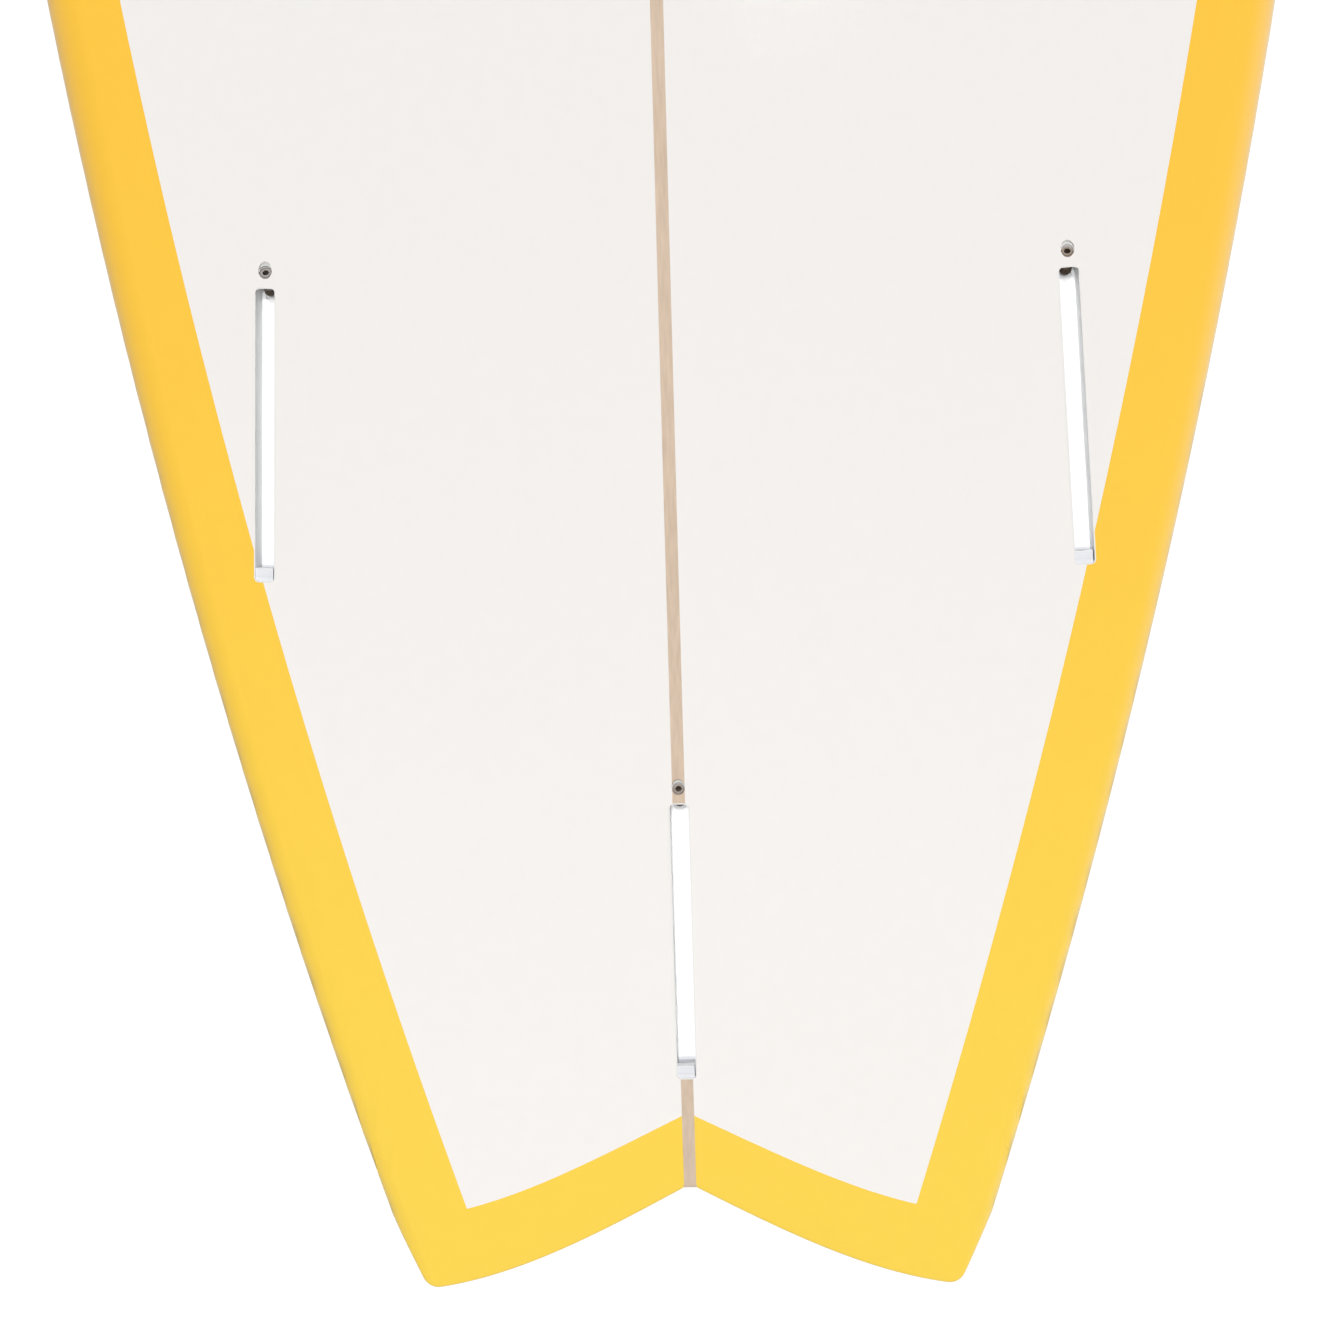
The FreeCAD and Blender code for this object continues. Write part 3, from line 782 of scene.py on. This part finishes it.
def noise(tree, scale, detail, stretch=(1.0, 1.0, 1.0)):
    """Noise fixed to the object, with scale in features per metre."""
    place = tree.nodes.new("ShaderNodeTexCoord")
    mapping = tree.nodes.new("ShaderNodeMapping")
    mapping.inputs["Scale"].default_value = stretch
    texture = tree.nodes.new("ShaderNodeTexNoise")
    texture.inputs["Scale"].default_value = scale
    texture.inputs["Detail"].default_value = detail
    tree.links.new(place.outputs["Object"], mapping.inputs["Vector"])
    tree.links.new(mapping.outputs["Vector"], texture.inputs["Vector"])
    return texture.outputs["Fac"]


def ramp(tree, source, low, high, start=0.3, end=0.7):
    node = tree.nodes.new("ShaderNodeValToRGB")
    node.color_ramp.elements[0].position = start
    node.color_ramp.elements[0].color = (*low, 1.0)
    node.color_ramp.elements[1].position = end
    node.color_ramp.elements[1].color = (*high, 1.0)
    tree.links.new(source, node.inputs["Fac"])
    return node.outputs["Color"]


def multiply(tree, first, second):
    node = tree.nodes.new("ShaderNodeMix")
    node.data_type = "RGBA"
    node.blend_type = "MULTIPLY"
    node.inputs["Factor"].default_value = 1.0
    tree.links.new(first, node.inputs["A"])
    tree.links.new(second, node.inputs["B"])
    return node.outputs["Result"]


def bump(tree, shader, source, distance, strength=1.0):
    node = tree.nodes.new("ShaderNodeBump")
    node.inputs["Distance"].default_value = distance
    node.inputs["Strength"].default_value = strength
    tree.links.new(source, node.inputs["Height"])
    tree.links.new(node.outputs["Normal"], shader.inputs["Normal"])


def grey(value):
    return (value, value, value)


def local_place(tree, matrix):
    """Coordinates in a frame given in millimetres, read in metres."""
    place = tree.nodes.new("ShaderNodeTexCoord")
    mapping = tree.nodes.new("ShaderNodeMapping")
    inverse = matrix.inverted()
    mapping.inputs["Location"].default_value = inverse.to_translation() * MM
    mapping.inputs["Rotation"].default_value = inverse.to_euler()
    tree.links.new(place.outputs["Object"], mapping.inputs["Vector"])
    return mapping.outputs["Vector"]


def coordinate(tree, vector, axis):
    node = tree.nodes.new("ShaderNodeSeparateXYZ")
    tree.links.new(vector, node.inputs["Vector"])
    return node.outputs[axis]


def map_range(tree, source, from_low, from_high, to_low=0.0, to_high=1.0, smooth=False):
    node = tree.nodes.new("ShaderNodeMapRange")
    if smooth:
        node.interpolation_type = "SMOOTHSTEP"
    node.inputs["From Min"].default_value = from_low
    node.inputs["From Max"].default_value = from_high
    node.inputs["To Min"].default_value = to_low
    node.inputs["To Max"].default_value = to_high
    tree.links.new(source, node.inputs["Value"])
    return node.outputs["Result"]


def arithmetic(tree, operation, source, other):
    """Math node on a source and either a second source or a number."""
    node = tree.nodes.new("ShaderNodeMath")
    node.operation = operation
    tree.links.new(source, node.inputs[0])
    if isinstance(other, (int, float)):
        node.inputs[1].default_value = other
    else:
        tree.links.new(other, node.inputs[1])
    return node.outputs["Value"]


def painted_light_along_board(tree):
    """0 at the tail tips, rising to 1 where the painted light, brighter towards the tail, stops
    changing.
    """
    place = tree.nodes.new("ShaderNodeTexCoord")
    tips = -0.5 * LENGTH
    station = coordinate(tree, place.outputs["Object"], "Y")
    return map_range(tree, station, tips * MM, (tips + PAINTED_LIGHT_END) * MM, smooth=True)


def screw_place(tree, side):
    """Distance from a grub screw's axis, and height along it above the skin."""
    tilted = FIN_FRAMES[side] @ Matrix.Translation((0.0, HOLE_AHEAD, 0.0))
    tilted = tilted @ Matrix.Rotation(-math.radians(SCREW_TILT), 4, "X")
    place = local_place(tree, tilted)
    flat = tree.nodes.new("ShaderNodeVectorMath")
    flat.operation = "MULTIPLY"
    flat.inputs[1].default_value = (1.0, 1.0, 0.0)
    tree.links.new(place, flat.inputs[0])
    size = tree.nodes.new("ShaderNodeVectorMath")
    size.operation = "LENGTH"
    tree.links.new(flat.outputs["Vector"], size.inputs[0])
    return size.outputs["Value"], coordinate(tree, place, "Z")


def thread_shade_mask(tree, side):
    """Painted shade in the thread turns down the screw's bore: 1 in the roots, 0 away from the bore."""
    distance, height = screw_place(tree, side)
    reach = 0.5 * HOLE_DIAMETER * MM
    inside = map_range(tree, distance, reach, THREAD_SHADE_FADE * reach, 1.0, 0.0)
    below = map_range(tree, height, THREAD_SHADE_FULL * MM, THREAD_SHADE_TOP * MM, 1.0, 0.0)
    below = arithmetic(tree, "MULTIPLY", below, map_range(tree, height, THREAD_SHADE_END * MM, THREAD_SHADE_LOW * MM))
    turns = arithmetic(tree, "MULTIPLY", height, 2.0 * math.pi / (THREAD_PITCH * MM))
    wave = map_range(tree, arithmetic(tree, "SINE", turns, 0.0), -THREAD_FLANK, THREAD_FLANK)
    return arithmetic(tree, "MULTIPLY", wave, arithmetic(tree, "MULTIPLY", inside, below))


def thread_shaded(tree, colour, side):
    """A colour, darkened by painted shade in the thread turns of one screw's bore."""
    turn_shade = ramp(tree, thread_shade_mask(tree, side), grey(1.0), THREAD_SHADE[side], 0.0, 1.0)
    return multiply(tree, colour, turn_shade)


def orange_peel(tree, shader):
    bump(tree, shader, noise(tree, PEEL_SCALE, 2.0), PEEL_DEPTH, 0.5)


def moulded_grain(tree, shader):
    bump(tree, shader, noise(tree, GRAIN_BUMP_SCALE, 2.0), GRAIN_DEPTH, 0.4)


def polyester(name, tail, middle, mottle, bores=()):
    """Sanded and polished resin: painted light brighter towards the tail, broad and fine mottling,
    painted shade in the given screw bores' thread turns, and a shallow orange peel.
    """
    material, tree, shader = new_material(name, middle, 0.30, coat=0.5)
    # painted light, brighter towards the tail
    painted_light_fade = ramp(tree, painted_light_along_board(tree), tail, middle, 0.0, 1.0)
    broad = ramp(tree, noise(tree, 6.0, 2.0), *mottle, 0.2, 0.8)
    fine = ramp(tree, noise(tree, 150.0, 3.0), grey(0.985), grey(1.0), 0.2, 0.8)
    colour = multiply(tree, multiply(tree, painted_light_fade, broad), fine)
    # painted shade in the thread turns of the screw bores
    for side in bores:
        colour = thread_shaded(tree, colour, side)
    tree.links.new(colour, shader.inputs["Base Color"])
    dull = ramp(tree, noise(tree, 25.0, 4.0), grey(RESIN_SHINY), grey(RESIN_DULL), 0.2, 0.8)
    tree.links.new(dull, shader.inputs["Roughness"])
    orange_peel(tree, shader)
    return material


def stringer_wood():
    """Pale straight-grained wood under clear resin."""
    material, tree, shader = new_material("stringer_wood", WOOD_PALE, 0.35, coat=0.5)
    fibre = noise(tree, 900.0, 5.0, (1.0, 0.02, 1.0))
    grain = ramp(tree, fibre, WOOD_DARK, WOOD_PALE, 0.2, 0.8)
    broad = ramp(tree, noise(tree, 14.0, 3.0, (1.0, 0.5, 1.0)), grey(0.94), grey(1.0), 0.2, 0.8)
    # painted shade in the centre bore's thread turns
    tree.links.new(thread_shaded(tree, multiply(tree, grain, broad), "centre"), shader.inputs["Base Color"])
    orange_peel(tree, shader)
    return material


def box_plastic(side):
    """White moulding: sanded with the skin at the lip, with painted shade, greyer and bluish, on the
    ledge at the slot's tail end and under it, bright inside, with painted shade in the bore's thread
    turns.
    """
    name = "box_plastic_" + side
    material, tree, shader = new_material(name, BOX_INSIDE, 0.4)
    place = local_place(tree, FIN_FRAMES[side])
    below_lip = map_range(tree, coordinate(tree, place, "Z"), LIP_LOW * MM, LIP_TOP * MM, 1.0, 0.0)
    lip = ramp(tree, below_lip, BOX_LIP, BOX_INSIDE, 0.0, 1.0)
    front = LEDGE_LENGTH - SLOT_LENGTH
    along = coordinate(tree, place, "Y")
    # painted shade, greyer and bluish, on the ledge and under it
    ledge_shade = map_range(tree, along, (front - LEDGE_SHADE_FADE) * MM, front * MM, 1.0, 0.0)
    ledge_shade = arithmetic(tree, "MULTIPLY", ledge_shade, below_lip)
    colour = multiply(tree, lip, ramp(tree, ledge_shade, grey(1.0), BOX_LEDGE_SHADE, 0.0, 1.0))
    fine = ramp(tree, noise(tree, GRAIN_SCALE, 4.0), grey(0.97), grey(1.0), 0.2, 0.8)
    # painted shade in the bore's thread turns
    colour = thread_shaded(tree, multiply(tree, colour, fine), side)
    tree.links.new(colour, shader.inputs["Base Color"])
    moulded_grain(tree, shader)
    return material


def moulded(name, colour, roughness=0.35):
    """Moulded plastic with a faint even grain."""
    material, tree, shader = new_material(name, colour, roughness)
    low = tuple(0.97 * value for value in colour)
    tree.links.new(ramp(tree, noise(tree, GRAIN_SCALE, 4.0), low, colour), shader.inputs["Base Color"])
    moulded_grain(tree, shader)
    return material


def steel(name, colour, roughness):
    """Worn stainless steel, part polished and part dull, with the nodes for tinting it more."""
    material, tree, shader = new_material(name, colour, roughness, metallic=0.5)
    low = tuple(0.72 * value for value in colour)
    worn = ramp(tree, noise(tree, 900.0, 5.0), low, colour, 0.2, 0.8)
    tree.links.new(worn, shader.inputs["Base Color"])
    rough = ramp(tree, noise(tree, 1400.0, 3.0), grey(roughness), grey(roughness + 0.1))
    tree.links.new(rough, shader.inputs["Roughness"])
    bump(tree, shader, noise(tree, 2500.0, 3.0), 0.00002, 0.5)
    return material, tree, shader, worn


def screw_steel(side):
    """Grub screw: bright at its outer end, with painted shade in its socket and on its tip."""
    material, tree, shader, worn = steel("screw_steel_" + side, SCREW_TINT[side], 0.32)
    distance, height = screw_place(tree, side)
    reach = SOCKET_REACH * MM
    within = map_range(tree, distance, SOCKET_INSIDE * reach, SOCKET_OUTSIDE * reach, 1.0, 0.0)
    low, top = -(SCREW_SUNK + SOCKET_FULL), -(SCREW_SUNK + SOCKET_TOP)
    sunk = map_range(tree, height, low * MM, top * MM, 1.0, 0.0)
    # painted shade in the hexagon socket
    socket_shade = ramp(tree, arithmetic(tree, "MULTIPLY", within, sunk), grey(1.0), SOCKET_SHADE, 0.0, 1.0)
    # painted shade on the tip, where it stands out into the slot's front end
    tip = map_range(tree, height, TIP_SHADE_FULL * MM, TIP_SHADE_TOP * MM, 1.0, 0.0)
    tip_shade = ramp(tree, tip, grey(1.0), TIP_SHADE, 0.0, 1.0)
    tree.links.new(multiply(tree, multiply(tree, worn, socket_shade), tip_shade), shader.inputs["Base Color"])
    return material


def speckled(name, low, high, scale, roughness, coat=0.0):
    """Foam, resin and glass that lie inside the board."""
    material, tree, shader = new_material(name, high, roughness, coat=coat)
    tree.links.new(ramp(tree, noise(tree, scale, 4.0), low, high), shader.inputs["Base Color"])
    bump(tree, shader, noise(tree, 4.0 * scale, 2.0), 0.00005, 0.5)
    return material


# ---------------------------------------------------------------- the pieces
def paint(node, material):
    """Give a CAD node that stays in view its material."""
    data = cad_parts[node].data
    data.materials.clear()
    data.materials.append(material)


WHITE = polyester("white_board", WHITE_TAIL_PAINTED_LIGHT, WHITE_MIDDLE, WHITE_MOTTLE, ("left", "right"))
YELLOW = polyester("yellow_rail", YELLOW_TAIL_PAINTED_LIGHT, YELLOW_MIDDLE, YELLOW_MOTTLE)
WOOD = stringer_wood()
PLUG_PLASTIC = moulded("plug_plastic", (0.86, 0.86, 0.85))
PIN_STEEL = steel("pin_steel", (0.66, 0.66, 0.65), 0.30)[0]
FOAM = speckled("core_foam", (0.80, 0.79, 0.73), (0.90, 0.89, 0.84), 700.0, 0.9)
RESIN = speckled("cast_resin", (0.74, 0.72, 0.62), (0.80, 0.78, 0.70), 90.0, 0.2, coat=0.4)
CLOTH = speckled("patch_glass", (0.72, 0.75, 0.70), (0.84, 0.86, 0.82), 500.0, 0.4, coat=0.3)

for side in ("left", "right", "centre"):
    paint("fin_box_" + side, box_plastic(side))
    paint("fin_screw_" + side, screw_steel(side))
    paint("fin_box_bed_" + side, RESIN)
    paint("fin_patch_" + side, CLOTH)
paint("leash_plug_cup", PLUG_PLASTIC)
paint("leash_plug_pin", PIN_STEEL)
paint("leash_plug_bed", RESIN)
paint("deck_patch", CLOTH)
paint("foam_core_left", FOAM)
paint("foam_core_right", FOAM)
paint("stringer", WOOD)

SKINS = collect()
for side in ("left", "right"):
    glass = skin_piece("bottom_glass_" + side, SKINS["bottom_glass_" + side], WHITE)
    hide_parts("bottom_laminate")
    glass = skin_piece("deck_glass_" + side, SKINS["deck_glass_" + side], WHITE)
    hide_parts("deck_laminate")
    rail = skin_piece("rail_skin_" + side, SKINS["rail_skin_" + side], YELLOW)
    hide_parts("rail_band_" + side)
strip = skin_piece("stringer_strip_bottom", SKINS["stringer_strip_bottom"], WOOD)
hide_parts("bottom_laminate")
strip = skin_piece("stringer_strip_deck", SKINS["stringer_strip_deck"], WOOD)
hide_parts("deck_laminate")


# ---------------------------------------------------------------- floor, light and camera
def glow(name, colour, emission):
    """Matt material that is bright by itself."""
    material = bpy.data.materials.new(name)
    material.use_nodes = True
    shader = material.node_tree.nodes["Principled BSDF"]
    shader.inputs["Base Color"].default_value = (*grey(colour), 1.0)
    shader.inputs["Roughness"].default_value = 0.9
    shader.inputs["Specular IOR Level"].default_value = 0.0
    shader.inputs["Emission Color"].default_value = (1.0, 1.0, 1.0, 1.0)
    shader.inputs["Emission Strength"].default_value = emission
    return material


def stage_piece(mesh, name, material):
    """Floor or backdrop: seen by the camera, but throws no light on the board."""
    data = bpy.data.meshes.new(name)
    mesh.to_mesh(data)
    mesh.free()
    data.materials.append(material)
    piece = bpy.data.objects.new(name, data)
    bpy.context.scene.collection.objects.link(piece)
    piece.visible_diffuse = False
    piece.visible_glossy = False
    return piece


def studio():
    """Pale floor and a white backdrop, which the light passes through."""
    mesh = bmesh.new()
    bmesh.ops.create_circle(mesh, cap_ends=True, segments=96, radius=STUDIO)
    stage_piece(mesh, "floor", glow("floor", FLOOR_COLOUR, FLOOR_GLOW))
    mesh = bmesh.new()
    bmesh.ops.create_uvsphere(mesh, u_segments=48, v_segments=24, radius=STUDIO)
    backdrop = stage_piece(mesh, "backdrop", glow("backdrop", 0.0, BACKDROP_GLOW))
    backdrop.visible_shadow = False
    backdrop.visible_transmission = False


def sky():
    """Soft light from all round, stronger from the right and from below."""
    world = bpy.data.worlds.new("studio")
    bpy.context.scene.world = world
    world.use_nodes = True
    tree = world.node_tree
    place = tree.nodes.new("ShaderNodeTexCoord")
    lean = tree.nodes.new("ShaderNodeVectorMath")
    lean.operation = "DOT_PRODUCT"
    lean.inputs[1].default_value = SKY_LEAN
    tree.links.new(place.outputs["Generated"], lean.inputs[0])
    level = arithmetic(tree, "ADD", lean.outputs["Value"], 1.0)
    height = coordinate(tree, place.outputs["Generated"], "Z")
    fade = map_range(tree, height, SKY_FADE_LOW, SKY_FADE_HIGH, SKY_BELOW, SKY_ABOVE, smooth=True)
    background = tree.nodes["Background"]
    background.inputs["Color"].default_value = (*SKY_TINT, 1.0)
    tree.links.new(arithmetic(tree, "MULTIPLY", fade, level), background.inputs["Strength"])


def lamp(name, level, tilt):
    """Distant light from above, tilted in degrees towards the nose."""
    data = bpy.data.lights.new(name, "SUN")
    data.energy = level * math.pi
    data.angle = math.radians(LAMP_SPREAD)
    light = bpy.data.objects.new(name, data)
    light.rotation_euler = (-math.radians(tilt), 0.0, 0.0)
    light.visible_glossy = False
    bpy.context.scene.collection.objects.link(light)


def camera():
    """Nearly square to the bottom, over the tail."""
    data = bpy.data.cameras.new("camera")
    data.sensor_width = SENSOR
    data.lens = LENS
    view = bpy.data.objects.new("camera", data)
    bpy.context.scene.collection.objects.link(view)
    place = Matrix.Translation(Vector(CAMERA_PLACE) * MM)
    for angle, axis in zip(CAMERA_TURN, "XYZ"):
        place = place @ Matrix.Rotation(math.radians(angle), 4, axis)
    view.matrix_world = place
    bpy.context.scene.camera = view


studio()
sky()
lamp("overhead", OVERHEAD, 0.0)
lamp("nose_side", NOSE_SIDE, NOSE_SIDE_TILT)
camera()
bpy.context.scene.view_settings.view_transform = "Standard"
